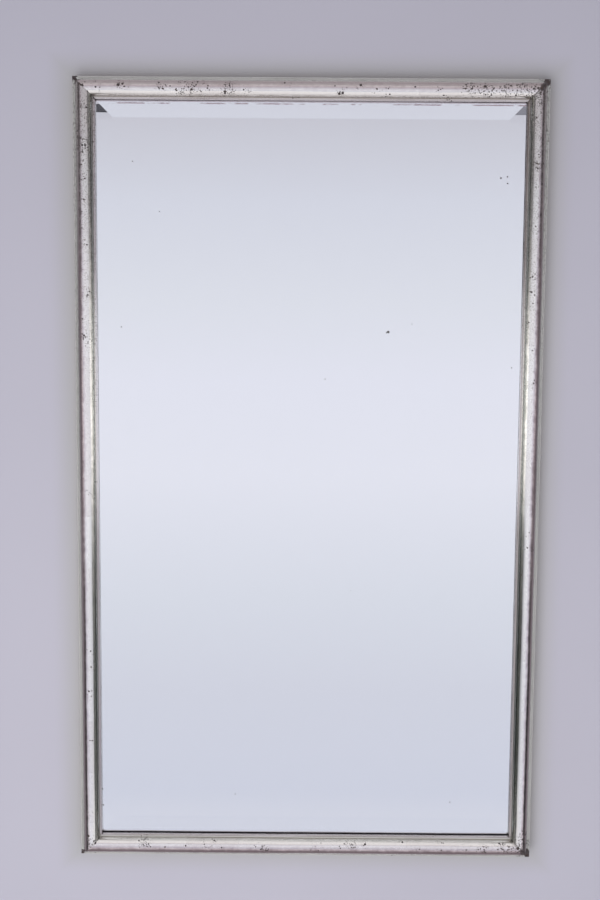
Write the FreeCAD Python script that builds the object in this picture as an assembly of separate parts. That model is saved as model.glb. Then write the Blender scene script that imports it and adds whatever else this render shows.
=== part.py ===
import FreeCAD, Part
import math
import os

# A silver-leafed wall mirror: four mitred lengths of round moulding, a bevelled plate in their
# rabbet, a boarded back, and two ring hangers on the uprights.
# Millimetres. X is to the right, Y goes back to the wall and Z is up, as the mirror hangs.
# The origin is the middle of the top rail's back, on the plane that faces the wall.
# A moulding is described by two distances: "inward" from the outer edge of the frame, across its
# face, and "forward" from the back of the frame.

Vector = FreeCAD.Vector
RIGHT = Vector(1, 0, 0)
BACK = Vector(0, 1, 0)
UP = Vector(0, 0, 1)

# Frame, over its outer edges
frame_width = 650.0
frame_height = 1100.0

# Moulding
side_height = 21.5        # back to the flats that lie on each side of the round
round_radius = 10.5
round_rise = 5.0          # centre of the round, forward of the flats
outer_margin = 6.0        # outer edge to the widest point of the round
sight_margin = 3.2        # widest point of the round to the sight edge
lip_flat = 0.5            # flat left along the outer edge, beside the hollow
hollow_sink = 1.4         # depth of the hollow between the outer edge and the round
outer_edge_radius = 0.7
sight_edge_radius = 0.6
lip_thickness = 6.0       # wood in front of the rabbet
rabbet_width = 8.0
rebate_width = 5.0        # second step, which the backboards lie in
rebate_depth = 6.0

# Corner keys, thin slips glued into a saw cut across each mitre
key_leg = 24.0
key_thickness = 1.6
key_forward = 10.5        # middle of the saw cut, forward of the back

# Mirror plate
glass_thickness = 5.0
glass_edge = 2.2          # thickness left at the rim of the bevel
bevel_width = 30.0
plate_clearance = 1.0     # rim of the plate to the rabbet's wall
silvering_thickness = 0.3  # silver, copper and backing paint together
slip_length = 45.0        # the slips that the plate stands on
slip_place_share = 0.25

# Glue blocks, which hold the plate against the rabbet
block_length = 62.0
block_foot = 6.8
block_toe = 1.6
block_top = 2.6
block_clearance = 0.3     # blocks to the backboards
cross_block_shares = (-0.27, 0.27)
upright_block_shares = (-0.34, 0.0, 0.34)

# Backboards
board_count = 4
board_recess = 0.3        # boards lie this far inside the back of the frame
board_clearance = 0.6     # boards to the wall of their rebate
board_gap = 1.2           # dry joint between two boards
board_lap = 6.0

# Nails, cut from plate: square and tapering
nail_side = 2.0
nail_tip_side = 1.1
nail_fit = 0.05           # room on each side of nails and screws in their holes
board_nail_length = 16.0
board_nail_head_side = 4.4
board_nail_head = 1.0
board_nail_peak_share = 0.4  # flat left on top of the four-faced head
board_nail_shares = (-0.3, 0.3)
rail_nail_shares = (-0.36, 0.0, 0.36)
corner_nail_length = 36.0
corner_nail_inward = 8.0
corner_nail_back_row = 4.5  # rows of corner nails, forward of the back
corner_nail_front_row = 16.5
corner_nail_head_side = 3.0
corner_nail_head = 1.0

# Ring hangers
hanger_drop = 262.0       # top of the frame to the hinge line of the rings
hanger_inward = 9.6
strap_width = 9.0
strap_thickness = 1.2
strap_length = 36.0
strap_corner = 2.0
ring_wire_radius = 1.3
ring_half_width = 7.2     # to the middle of the wire
ring_drop = 9.0           # hinge line to the centre of the bow
ring_bow_radius = 4.6     # to the middle of the wire
ring_fit = 0.06           # radial room of the ring's bar in the curl
curl_open_angle = 75.0    # degrees left open in the curl
screw_spacing = 11.5
screw_end = 5.6           # upper screw to the upper end of the strap
screw_radius = 1.5
screw_length = 13.0
screw_hole_radius = 1.7
screw_head_radius = 3.0
screw_head_height = 1.7
screw_slot_width = 0.8
screw_slot_depth = 0.9

# Wall pads
pad_radius = 6.5
pad_proud = 0.1           # pads reach this much nearer the wall than the hangers do
pad_in_from_side = 34.0

overrun = 5.0             # how far a cutting tool runs past what it cuts
same_point = 1e-6         # points nearer than this are one point

# Places that follow from the sizes
face_width = outer_margin + 2 * round_radius + sight_margin
round_inward = outer_margin + round_radius
round_forward = side_height + round_rise
frame_depth = round_forward + round_radius
rabbet_wall = face_width - rabbet_width
rebate_wall = rabbet_wall - rebate_width
rabbet_depth = side_height - lip_thickness
top_edge = rebate_wall / 2
middle_height = top_edge - frame_height / 2

plate_inset = rabbet_wall + plate_clearance
plate_width = frame_width - 2 * plate_inset
plate_height = frame_height - 2 * plate_inset
bevel_slope = (glass_thickness - glass_edge) / bevel_width
glass_back = rabbet_depth - glass_edge - bevel_slope * (face_width - plate_inset)
silvering_back = glass_back - silvering_thickness

# Each side of the frame: turn about the axis that points back, distance from the middle to the
# outer edge, and length over the outer edge
SIDES = {
    "top": (0.0, frame_height / 2, frame_width),
    "right": (90.0, frame_width / 2, frame_height),
    "bottom": (180.0, frame_height / 2, frame_width),
    "left": (270.0, frame_width / 2, frame_height),
}


def wire(start, steps):
    """A closed wire from a start point. A step is a point, for a straight edge to it, or two
    points, for an arc through the first that ends at the second."""
    edges = []
    here = start
    for step in steps:
        if isinstance(step, tuple):
            through, end = step
            edges.append(Part.Arc(here, through, end).toShape())
        else:
            end = step
            edges.append(Part.LineSegment(here, end).toShape())
        here = end
    if not here.isEqual(start, same_point):
        edges.append(Part.LineSegment(here, start).toShape())
    return Part.Wire(edges)


def prism(outline, along):
    """The solid that a closed wire makes when it is pushed along a vector."""
    return Part.Face(outline).extrude(along)


def on_side(solid, side):
    """A solid drawn at a level top side, with the outer edge at height 0, moved to its side."""
    turn, distance, _ = SIDES[side]
    solid.translate(UP * distance)
    solid.rotate(Vector(), BACK, turn)
    solid.translate(UP * middle_height)
    return solid


def across(inward, forward, along=0.0):
    """A point of the moulding, drawn at a level top side with the outer edge at height 0."""
    return Vector(along, -forward, -inward)


def corner_round(centre, radius, angle):
    """The point of a small rounding at an angle, from inward (0) towards forward (90)."""
    turn = math.radians(angle)
    return across(centre[0] + radius * math.cos(turn), centre[1] + radius * math.sin(turn))


def moulding_outline():
    """Section of the moulding: a round between two flats, hollowed outside, stepped behind."""
    foot = math.sqrt(round_radius ** 2 - round_rise ** 2)
    outer_foot = round_inward - foot
    inner_foot = round_inward + foot
    lip = outer_edge_radius + lip_flat
    outer_centre = (outer_edge_radius, side_height - outer_edge_radius)
    sight_centre = (face_width - sight_edge_radius, side_height - sight_edge_radius)
    steps = [
        across(0, side_height - outer_edge_radius),
        (corner_round(outer_centre, outer_edge_radius, 135), across(outer_edge_radius, side_height)),
        across(lip, side_height),
        (across((lip + outer_foot) / 2, side_height - hollow_sink), across(outer_foot, side_height)),
        (across(round_inward, frame_depth), across(inner_foot, side_height)),
        across(face_width - sight_edge_radius, side_height),
        (corner_round(sight_centre, sight_edge_radius, 45), across(face_width, sight_centre[1])),
        across(face_width, rabbet_depth),
        across(rabbet_wall, rabbet_depth),
        across(rabbet_wall, rebate_depth),
        across(rebate_wall, rebate_depth),
        across(rebate_wall, 0),
    ]
    return wire(across(0, 0), steps)


def mitre_waste(length, end):
    """The wedge that a mitre saw takes off one end (-1 or 1) of a length of moulding."""
    reach = face_width + overrun
    corners = [(overrun, overrun), (-reach, -reach), (overrun, -reach)]
    points = [Vector(end * (length / 2 + x), overrun, z) for x, z in corners]
    return prism(wire(points[0], points[1:]), -BACK * (frame_depth + 2 * overrun))


def moulding(side):
    """One mitred length of the moulding, in its place."""
    length = SIDES[side][2]
    section = moulding_outline()
    section.translate(-RIGHT * (length / 2))
    blank = prism(section, RIGHT * length)
    rail = blank.cut([mitre_waste(length, -1), mitre_waste(length, 1)])
    return on_side(rail, side)


def corner_key(x_side, z_side):
    """The thin three-cornered slip in one corner's saw cut, flush with both outer faces."""
    corner = Vector(x_side * frame_width / 2, 0, middle_height + z_side * frame_height / 2)
    front = corner - BACK * (key_forward + key_thickness / 2)
    outline = wire(front, [front - RIGHT * (x_side * key_leg), front - UP * (z_side * key_leg)])
    return prism(outline, BACK * key_thickness)


def tapered_bar(low_side, high_side, length):
    """A square bar along Y from the origin, of one side at its start and another at its end."""
    low, high = low_side / 2, high_side / 2
    return Part.makeWedge(-low, 0, -low, -high, -high, low, length, low, high, high)


def nail(neck, aim, length, head_side, head_height, peak_side, room=0.0):
    """A cut nail. Its neck is where the shank leaves the head, and its aim points to the tip.
    With room on every side, the solid is the tool for its hole."""
    shank = tapered_bar(nail_side + 2 * room, nail_tip_side + 2 * room, length + room)
    head = tapered_bar(peak_side + 2 * room, head_side + 2 * room, head_height + room)
    head.translate(-BACK * (head_height + room))
    solid = shank.fuse(head).removeSplitter()
    solid.Placement = FreeCAD.Placement(neck, FreeCAD.Rotation(BACK, aim))
    return solid


def corner_nail_settings():
    """Neck and aim of the nails through the uprights into the ends of the cross rails, sunk flush."""
    settings = []
    for x_side in (-1, 1):
        for z_side in (-1, 1):
            for forward in (corner_nail_back_row, corner_nail_front_row):
                neck = Vector(
                    x_side * (frame_width / 2 - corner_nail_head),
                    -forward,
                    middle_height + z_side * (frame_height / 2 - corner_nail_inward),
                )
                settings.append((neck, -RIGHT * x_side))
    return settings


def bevelled_plate():
    """The glass: a thin rim, a wide bevel on the front and a flat field."""
    rim_x, rim_z = plate_width / 2, plate_height / 2
    field_x, field_z = rim_x - bevel_width, rim_z - bevel_width
    bevelled = Part.makeWedge(
        -field_x, -glass_thickness, -field_z, -rim_z, -rim_x, field_x, -glass_edge, field_z, rim_z, rim_x
    )
    rim = Part.makeBox(plate_width, glass_edge, plate_height, Vector(-rim_x, -glass_edge, -rim_z))
    plate = rim.fuse(bevelled).removeSplitter()
    plate.translate(Vector(0, -glass_back, middle_height))
    return plate


def silvering():
    """The silvered coat over the whole back of the plate."""
    low = Vector(-plate_width / 2, -glass_back, middle_height - plate_height / 2)
    return Part.makeBox(plate_width, silvering_thickness, plate_height, low)


def plate_slip(x_side):
    """A slip between the bottom rail's rabbet and the rim of the plate, which stands on it."""
    middle = x_side * slip_place_share * plate_width
    foot = middle_height - frame_height / 2 + rabbet_wall
    low = Vector(middle - slip_length / 2, -glass_back - glass_edge, foot)
    return Part.makeBox(slip_length, glass_edge, plate_clearance, low)


def glue_block(side, share):
    """A chamfered block glued to the rabbet's wall behind the plate."""
    middle = share * SIDES[side][2]
    low = rebate_depth + block_clearance
    start = middle - block_length / 2
    outline = wire(
        across(rabbet_wall, low, start),
        [
            across(rabbet_wall, silvering_back, start),
            across(rabbet_wall + block_foot, silvering_back, start),
            across(rabbet_wall + block_foot, silvering_back - block_toe, start),
            across(rabbet_wall + block_top, low, start),
        ],
    )
    return on_side(prism(outline, RIGHT * block_length), side)


board_width = frame_width - 2 * (rebate_wall + board_clearance)
boards_height = frame_height - 2 * (rebate_wall + board_clearance)
board_pitch = (boards_height + board_gap) / board_count
board_thickness = rebate_depth - board_recess


def board_span(index):
    """Lowest and highest point of a board's back face, counted from the top."""
    top = middle_height + boards_height / 2 - index * board_pitch
    return top - board_pitch + board_gap, top


def slab(low, high, behind, front):
    """A flat piece the width of the boards, between two heights and two depths."""
    corner = Vector(-board_width / 2, -front, low)
    return Part.makeBox(board_width, front - behind, high - low, corner)


def backboard(index):
    """A thin board lying across the frame. Its front half laps over the board below it."""
    low, high = board_span(index)
    half = board_recess + board_thickness / 2
    front_low = low if index == board_count - 1 else low - board_lap
    front_high = high if index == 0 else high - board_lap
    back_half = slab(low, high, board_recess, half)
    front_half = slab(front_low, front_high, half, rebate_depth)
    return back_half.fuse(front_half).removeSplitter()


def board_nail_settings():
    """Neck and aim of two nails at each end of every board and a row along each cross rail."""
    line = rebate_wall + rebate_width / 2
    places = []
    for index in range(board_count):
        low, high = board_span(index)
        for share in board_nail_shares:
            for x_side in (-1, 1):
                height = (low + high) / 2 + share * (high - low)
                places.append((x_side * (frame_width / 2 - line), height))
    for z_side in (-1, 1):
        for share in rail_nail_shares:
            height = middle_height + z_side * (frame_height / 2 - line)
            places.append((share * frame_width, height))
    return [(Vector(x, -board_recess, z), -BACK) for x, z in places]


curl_inner = ring_wire_radius + ring_fit
curl_outer = curl_inner + strap_thickness
hinge_height = top_edge - hanger_drop
pad_thickness = 2 * curl_outer + pad_proud


def hinge_point(x_side):
    """The middle of a ring's hinge line."""
    return Vector(x_side * (frame_width / 2 - hanger_inward), curl_outer, hinge_height)


def screw_places(x_side):
    """Where the two screws of a hanger stand on the back of the upright."""
    upper = hinge_point(x_side) + Vector(0, -curl_outer, strap_length - screw_end)
    return [upper, upper - UP * screw_spacing]


def hanger_strap(x_side):
    """A metal strip screwed to the upright, its lower end curled round the ring's bar."""
    def on_curl(radius, degrees):
        turn = math.radians(degrees)
        return Vector(0, curl_outer + radius * math.cos(turn), radius * math.sin(turn))

    end = 540 - curl_open_angle
    middle = (180 + end) / 2
    outline = wire(
        Vector(0, 0, strap_length),
        [
            Vector(0, strap_thickness, strap_length),
            on_curl(curl_inner, 180),
            (on_curl(curl_inner, middle), on_curl(curl_inner, end)),
            on_curl(curl_outer, end),
            (on_curl(curl_outer, middle), on_curl(curl_outer, 180)),
        ],
    )
    strip = prism(outline, RIGHT * strap_width)
    corners = [
        edge
        for edge in strip.Edges
        if edge.BoundBox.ZMin > strap_length - overrun and edge.BoundBox.XLength < ring_fit
        and edge.BoundBox.ZLength < ring_fit
    ]
    strip = strip.makeFillet(strap_corner, corners)
    strip.translate(hinge_point(x_side) - Vector(strap_width / 2, curl_outer, 0))
    holes = [
        Part.makeCylinder(screw_hole_radius, strap_thickness + 2 * overrun, place - BACK * overrun, BACK)
        for place in screw_places(x_side)
    ]
    return strip.cut(holes)


def ring_leg():
    """Length of a ring's leg, and its slant below the level of the bar, in radians. The leg runs
    from the bar's end to the bow, which it meets without a kink."""
    middle_line = math.hypot(ring_half_width, ring_drop)
    slant = math.atan2(ring_drop, ring_half_width) + math.asin(ring_bow_radius / middle_line)
    return math.sqrt(middle_line ** 2 - ring_bow_radius ** 2), slant


def hanger_ring(x_side):
    """A three-cornered ring of round wire in the curl of its strap: a straight bar, two legs
    turned sharply down from it, and a bow that joins them."""
    length, slant = ring_leg()
    reach = ring_half_width + 3 * overrun
    low, high = -ring_half_width * math.tan(slant / 2), 3 * overrun * math.tan(slant / 2)
    outline = wire(Vector(0, -overrun, low), [Vector(reach, -overrun, high), Vector(-reach, -overrun, high)])
    above_mitres = prism(outline, BACK * (2 * overrun))
    bar = Part.makeCylinder(ring_wire_radius, 2 * reach, -RIGHT * reach, RIGHT).common(above_mitres)
    down_left, down_right = (Vector(-side * math.cos(slant), 0, -math.sin(slant)) for side in (-1, 1))
    legs = []
    for side, down in ((-1, down_left), (1, down_right)):
        top = RIGHT * (side * ring_half_width) - down * overrun
        legs.append(Part.makeCylinder(ring_wire_radius, length + overrun, top, down).cut(above_mitres))
    bow_centre = -UP * ring_drop
    bow_start = RIGHT * ring_half_width + down_right * length
    disc = Part.Face(Part.Wire(Part.makeCircle(ring_wire_radius, bow_start, down_right)))
    bow = disc.revolve(bow_centre, BACK, 2 * math.degrees(slant))
    ring = bar.fuse(legs + [bow]).removeSplitter()
    ring.translate(hinge_point(x_side))
    return ring


def screw(place):
    """A round-headed slotted screw through a strap, drawn without its thread."""
    base = strap_thickness
    ball = (screw_head_radius ** 2 + screw_head_height ** 2) / (2 * screw_head_height)
    half_turn = math.asin(screw_head_radius / ball) / 2
    ball_centre = base + screw_head_height - ball
    on_head = Vector(ball * math.sin(half_turn), ball_centre + ball * math.cos(half_turn), 0)
    tip = base - screw_length
    profile = wire(
        Vector(0, base + screw_head_height, 0),
        [
            (on_head, Vector(screw_head_radius, base, 0)),
            Vector(screw_radius, base, 0),
            Vector(screw_radius, tip, 0),
            Vector(0, tip, 0),
        ],
    )
    body = Part.Face(profile).revolve(Vector(), BACK, 360)
    slot = Part.makeBox(
        screw_slot_width,
        screw_slot_depth + overrun,
        2 * (screw_head_radius + overrun),
        Vector(
            -screw_slot_width / 2,
            base + screw_head_height - screw_slot_depth,
            -screw_head_radius - overrun,
        ),
    )
    body = body.cut(slot)
    body.translate(place)
    return body


def screw_hole(place):
    """The hole for a screw in the upright."""
    return Part.makeCylinder(screw_radius + nail_fit, screw_length, place, -BACK)


def wall_pad(x_side):
    """A round pad that holds the bottom of the frame off the wall."""
    place = Vector(
        x_side * (frame_width / 2 - pad_in_from_side), 0, middle_height - frame_height / 2 + top_edge
    )
    return Part.makeCylinder(pad_radius, pad_thickness, place, BACK)


def cut_where_met(solid, tools):
    """A solid less those of the tools that reach it."""
    met = [tool for tool in tools if tool.BoundBox.intersect(solid.BoundBox)]
    return solid.cut(met) if met else solid


def build():
    """Every piece of the mirror, by the name of its node."""
    x_names = {-1: "left", 1: "right"}
    z_names = {1: "top", -1: "bottom"}
    corner_sizes = (corner_nail_length, corner_nail_head_side, corner_nail_head, corner_nail_head_side)
    peak_side = board_nail_peak_share * board_nail_head_side
    board_sizes = (board_nail_length, board_nail_head_side, board_nail_head, peak_side)
    nails = {
        "corner_nails": [setting + corner_sizes for setting in corner_nail_settings()],
        "backboard_nails": [setting + board_sizes for setting in board_nail_settings()],
    }
    screws = [place for x_side in (-1, 1) for place in screw_places(x_side)]
    keys = {
        f"corner_key_{z_names[z]}_{x_names[x]}": corner_key(x, z) for z in (1, -1) for x in (-1, 1)
    }
    tools = list(keys.values())
    for group in nails.values():
        tools += [nail(*sizes, room=nail_fit) for sizes in group]
    tools += [screw_hole(place) for place in screws]

    pieces = {
        "top_rail": cut_where_met(moulding("top"), tools),
        "bottom_rail": cut_where_met(moulding("bottom"), tools),
        "left_stile": cut_where_met(moulding("left"), tools),
        "right_stile": cut_where_met(moulding("right"), tools),
        "mirror_glass": bevelled_plate(),
        "silvering": silvering(),
        "hanger_screws": Part.makeCompound([screw(place) for place in screws]),
    }
    for name, group in nails.items():
        pieces[name] = Part.makeCompound([nail(*sizes) for sizes in group])
    pieces.update(keys)
    for index in range(board_count):
        pieces[f"backboard_{index + 1}"] = cut_where_met(backboard(index), tools)
    for side, shares in (
        ("top", cross_block_shares),
        ("bottom", cross_block_shares),
        ("left", upright_block_shares),
        ("right", upright_block_shares),
    ):
        for number, share in enumerate(shares, 1):
            pieces[f"glue_block_{side}_{number}"] = glue_block(side, share)
    for x_side, name in x_names.items():
        pieces[f"plate_slip_{name}"] = plate_slip(x_side)
        pieces[f"hanger_strap_{name}"] = hanger_strap(x_side)
        pieces[f"hanger_ring_{name}"] = hanger_ring(x_side)
        pieces[f"wall_pad_{name}"] = wall_pad(x_side)
    return pieces


os.makedirs("parts", exist_ok=True)
for name, shape in build().items():
    shape.exportStep(f"parts/{name}.step")
    print(name, "solids", len(shape.Solids), "volume mm3", round(shape.Volume, 1), "valid", shape.isValid())
print("moulding face", face_width, "frame depth", frame_depth, "rabbet depth", rabbet_depth)
print("plate", plate_width, plate_height, "back of the glass", round(glass_back, 3))
print("hinge line", [round(v, 4) for v in hinge_point(1)], "pad thickness", round(pad_thickness, 3))
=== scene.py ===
# %% [markdown]
# A silver-leafed wall mirror
#
# The real mirror is a pine frame of four mitred lengths, covered with gesso and worn silver leaf,
# round a bevelled plate. The construction (sizes, pieces, joints) is fixed already and is loaded
# below as a frame. What is left to do is how each surface looks, so this lesson goes from the light
# to the leaf, the glass and its silvering, and ends at the back that nobody sees.

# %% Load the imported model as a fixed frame
import math
from functools import reduce

import bpy
import numpy as np
from mathutils import Matrix, Vector


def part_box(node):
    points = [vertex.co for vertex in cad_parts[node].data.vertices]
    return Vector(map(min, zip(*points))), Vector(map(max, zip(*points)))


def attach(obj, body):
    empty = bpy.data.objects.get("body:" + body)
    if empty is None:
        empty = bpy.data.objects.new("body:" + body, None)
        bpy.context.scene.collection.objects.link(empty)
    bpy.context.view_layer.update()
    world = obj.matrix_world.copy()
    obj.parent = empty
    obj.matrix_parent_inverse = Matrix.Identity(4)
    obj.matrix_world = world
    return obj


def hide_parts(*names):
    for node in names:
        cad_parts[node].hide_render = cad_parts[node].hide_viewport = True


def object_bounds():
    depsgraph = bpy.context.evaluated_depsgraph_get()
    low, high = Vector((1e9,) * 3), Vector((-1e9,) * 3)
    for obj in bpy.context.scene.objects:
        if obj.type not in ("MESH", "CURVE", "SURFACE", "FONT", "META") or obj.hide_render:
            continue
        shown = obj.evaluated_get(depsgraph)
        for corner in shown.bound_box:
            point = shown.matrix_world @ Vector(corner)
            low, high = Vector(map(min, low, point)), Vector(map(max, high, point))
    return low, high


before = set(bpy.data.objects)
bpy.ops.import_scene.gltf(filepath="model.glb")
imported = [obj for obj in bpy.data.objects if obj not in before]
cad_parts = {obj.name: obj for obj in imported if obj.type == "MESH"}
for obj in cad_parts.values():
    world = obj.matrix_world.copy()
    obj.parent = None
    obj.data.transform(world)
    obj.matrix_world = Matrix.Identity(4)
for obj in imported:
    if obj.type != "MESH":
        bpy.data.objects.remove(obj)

cad_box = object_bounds()
print("nodes", len(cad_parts), "box", [tuple(round(v, 4) for v in corner) for corner in cad_box])

# %% [markdown]
# Small tools
#
# Everything below is built from a few helpers. One turns a written colour into the linear values that
# a shader works with. One adds a shader node with its settings and links, and a small class lets what
# the node works out be added or multiplied, so that a formula can be written as one. Materials could
# also be put together by hand in the node editor, but a script gives the same result on every run.

# %% Colour and node helpers
MM = 0.001
NOISE_MIDDLE = (0.5, 0.5, 0.5)          # coloured noise is this on average


def linear(hex_colour):
    """Linear RGBA from sRGB hex text: (c + 0.055) / 1.055 to the power 2.4, or c / 12.92 if small."""
    channels = [int(hex_colour[i:i + 2], 16) / 255 for i in (1, 3, 5)]
    return [c / 12.92 if c <= 0.04045 else ((c + 0.055) / 1.055) ** 2.4 for c in channels] + [1.0]


def node(tree, kind, inputs=None, stops=None, **settings):
    """Adds a shader node. Settings are its properties, inputs maps sockets to numbers, hex texts or
    what other nodes work out, and stops fills a colour ramp with (place, colour) pairs."""
    made = tree.nodes.new("ShaderNode" + kind)
    for name, value in settings.items():
        setattr(made, name, value)
    for socket, value in (inputs or {}).items():
        if isinstance(value, Value):
            value = value.socket
        if isinstance(value, bpy.types.Node):
            value = value.outputs[0]
        if isinstance(value, bpy.types.NodeSocket):
            tree.links.new(value, made.inputs[socket])
        else:
            made.inputs[socket].default_value = linear(value) if isinstance(value, str) else value
    if stops:
        elements = made.color_ramp.elements
        while len(elements) < len(stops):
            elements.new(0.5)
        for element, (place, colour) in zip(elements, stops):
            element.position = place
            element.color = linear(colour)
    return made


class Value:
    """A number, colour or place that a shader works out. The signs + - * / on it add math nodes."""

    def __init__(self, socket):
        self.socket = socket

    def __add__(self, other):
        return reckon("ADD", self, other)

    def __sub__(self, other):
        return reckon("SUBTRACT", self, other)

    def __rsub__(self, other):
        return reckon("SUBTRACT", other, self)

    def __mul__(self, other):
        return reckon("MULTIPLY", self, other)

    def __truediv__(self, other):
        return reckon("DIVIDE", self, other)

    def __abs__(self):
        return reckon("ABSOLUTE", self)


def derived(kind, inputs, output=0, **settings):
    """Adds a node to the tree that its inputs come from, and gives what the node works out."""
    tree = next(value.socket.id_data for value in inputs.values() if isinstance(value, Value))
    return Value(node(tree, kind, inputs, **settings).outputs[output])


def reckon(operation, *values):
    """Arithmetic on numbers."""
    return derived("Math", dict(enumerate(values)), operation=operation)


def largest(*values):
    """The largest of some numbers, taken two by two."""
    return reduce(lambda a, b: reckon("MAXIMUM", a, b), values)


def smallest(*values):
    """The smallest of some numbers, taken two by two."""
    return reduce(lambda a, b: reckon("MINIMUM", a, b), values)


def reckon_vector(operation, *values, output=0):
    """Arithmetic on places, part by part."""
    return derived("VectorMath", dict(enumerate(values)), output, operation=operation)


def scaled(vector, factor):
    """A place or colour times one number."""
    return derived("VectorMath", {0: vector, "Scale": factor}, operation="SCALE")


def axes_of(vector):
    """The three parts of a place."""
    split = node(vector.socket.id_data, "SeparateXYZ", {0: vector})
    return [Value(part) for part in split.outputs]


def fade(value, low, high, to_low=0.0, to_high=1.0, kind="SMOOTHSTEP"):
    """Goes from to_low to to_high while the value goes from low to high, and is level outside them."""
    return derived("MapRange", {0: value, 1: low, 2: high, 3: to_low, 4: to_high},
                   interpolation_type=kind)


def blend(share, a, b):
    """A number that is a where the share is 0 and b where it is 1."""
    return fade(share, 0.0, 1.0, a, b, "LINEAR")


def mix(share, a, b, blend_type="MIX"):
    """A colour that is a where the share is 0 and b where it is 1."""
    return derived("Mix", {0: share, 6: a, 7: b}, 2, data_type="RGBA", blend_type=blend_type)


def ramp(value, *stops):
    """A colour by value, from (value, colour) pairs and straight between them."""
    return derived("ValToRGB", {0: value}, stops=stops)


def noise(place, size_mm, detail=2.0, rough=0.5, output=0, **more):
    """Cloudy noise between 0 and 1, with blotches of about this size."""
    return derived("TexNoise", {
        "Vector": place, "Scale": 1 / size_mm, "Detail": detail, "Roughness": rough, **more}, output)


def object_place(tree):
    """Where a point is in the object's own space, in metres."""
    return Value(node(tree, "TexCoord").outputs["Object"])


def object_mm(tree):
    """Where a point is in the object's own space, in millimetres."""
    return scaled(object_place(tree), 1 / MM)


def new_material(name):
    """An empty node material and its tree."""
    material = bpy.data.materials.new(name)
    material.use_nodes = True
    material.node_tree.nodes.clear()
    return material, material.node_tree


def finish_material(tree, shader):
    """Joins a shader to the material's output."""
    node(tree, "OutputMaterial", {"Surface": shader})


def finish_surface(tree, colour, rough, metal=0.0, height=None, relief_mm=0.1, strength=0.4):
    """Ends a material with one surface, with a fine relief where a height is given."""
    inputs = {"Base Color": colour, "Roughness": rough, "Metallic": metal}
    if height is not None:
        inputs["Normal"] = node(tree, "Bump", {
            "Strength": strength, "Distance": relief_mm * MM, "Height": height})
    finish_material(tree, node(tree, "BsdfPrincipled", inputs))


print("grey #808080 is", round(linear("#808080")[0], 4), "as a linear value")

# %% [markdown]
# Meshes from arrays
#
# A surface here is an array of points and a list of faces between them. Most are grids: a row of
# points carried along or round, with four-sided faces between neighbours. Blender could also be driven
# through its operators, but arrays leave nothing selected or half done.

# %% Mesh helpers
CORNER_SIGNS = ((-1, -1), (1, -1), (1, 1), (-1, 1))
SHARP_DEGREES = 35.0


def new_piece(name, points, faces, materials, body="frame", zones=None):
    """A mesh object at the origin from points in metres, smooth but for edges past an angle. Zones
    gives each face's material number."""
    mesh = bpy.data.meshes.new(name)
    mesh.from_pydata(np.asarray(points, dtype=float).reshape(-1, 3).tolist(), [], faces)
    for material in materials:
        mesh.materials.append(material)
    if zones is not None:
        mesh.polygons.foreach_set("material_index", np.asarray(zones, dtype=np.int32))
    mesh.shade_smooth()
    mesh.set_sharp_from_angle(angle=math.radians(SHARP_DEGREES))
    made = bpy.data.objects.new(name, mesh)
    bpy.context.scene.collection.objects.link(made)
    if body:
        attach(made, body)
    return made


def grid_faces(rows, columns, close_rows=False, close_columns=False):
    """Quads between the points of a grid that is stored row by row, closed round in either way."""
    r = np.arange(rows if close_rows else rows - 1)
    c = np.arange(columns if close_columns else columns - 1)
    r, c = np.meshgrid(r, c, indexing="ij")
    r2, c2 = (r + 1) % rows, (c + 1) % columns
    quads = np.stack([r * columns + c, r * columns + c2, r2 * columns + c2, r2 * columns + c], -1)
    return quads.reshape(-1, 4).tolist()


def loop_normals(loop):
    """Normals of a closed loop: the tangent from neighbour to neighbour, turned by 90 degrees."""
    tangent = np.roll(loop, -1, 0) - np.roll(loop, 1, 0)
    tangent /= np.linalg.norm(tangent, axis=1, keepdims=True)
    return np.stack([-tangent[:, 1], tangent[:, 0]], -1)


print("a grid of 3 by 4 points has", len(grid_faces(3, 4)), "faces")

# %% [markdown]
# The camera
#
# The photograph was taken from a little above the middle with a slightly long lens. A pinhole camera
# has few numbers: where the eye is, three small turns, and the focal length in pixels. They were
# fitted to the corners of the frame, and are written here as such, so the same numbers can also turn
# a place in the picture into a place on the frame.

# %% Camera
PICTURE = (600.0, 900.0)
FOCAL_PX = 1187.0
EYE = Vector((-9.0, -1676.0, -329.5)) * MM
YAW, PITCH, ROLL = math.radians(0.1), math.radians(-5.88), math.radians(-0.42)
SENSOR = 36.0 * MM

turned = Matrix.Rotation(YAW, 3, "Z") @ Matrix.Rotation(PITCH, 3, "X") @ Matrix.Rotation(ROLL, 3, "Y")
right, forward, up = turned.col[0], turned.col[1], turned.col[2]
eye_data = bpy.data.cameras.new("camera")
eye_data.sensor_width = SENSOR / MM
eye_data.lens = FOCAL_PX / max(PICTURE) * eye_data.sensor_width
camera = bpy.data.objects.new("camera", eye_data)
basis = Matrix((right, up, -forward)).transposed()
camera.matrix_world = Matrix.Translation(EYE) @ basis.to_4x4()
bpy.context.scene.collection.objects.link(camera)
bpy.context.scene.camera = camera


def rays_through(marks):
    """Directions from the eye through marks in the picture, as an array of unnormalised vectors. A
    mark's first two numbers are its place across and down."""
    px, py = (np.array([mark[i] for mark in marks], dtype=float) for i in (0, 1))
    across = (px - PICTURE[0] / 2) / FOCAL_PX
    above = (PICTURE[1] / 2 - py) / FOCAL_PX
    parts = [np.array(right), np.array(forward), np.array(up)]
    return across[..., None] * parts[0] + parts[1] + above[..., None] * parts[2]


eye_mm = np.array(EYE) / MM
print("lens mm", round(eye_data.lens, 2))

# %% [markdown]
# The moulding's section
#
# Two distances describe the moulding: inward, from the outer edge across the face, and forward, from
# the back. The solid frame says how wide and deep it is. The section itself is a half round on a
# flat, with a shallow hollow outside it and a narrow fillet at the sight edge.

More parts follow.
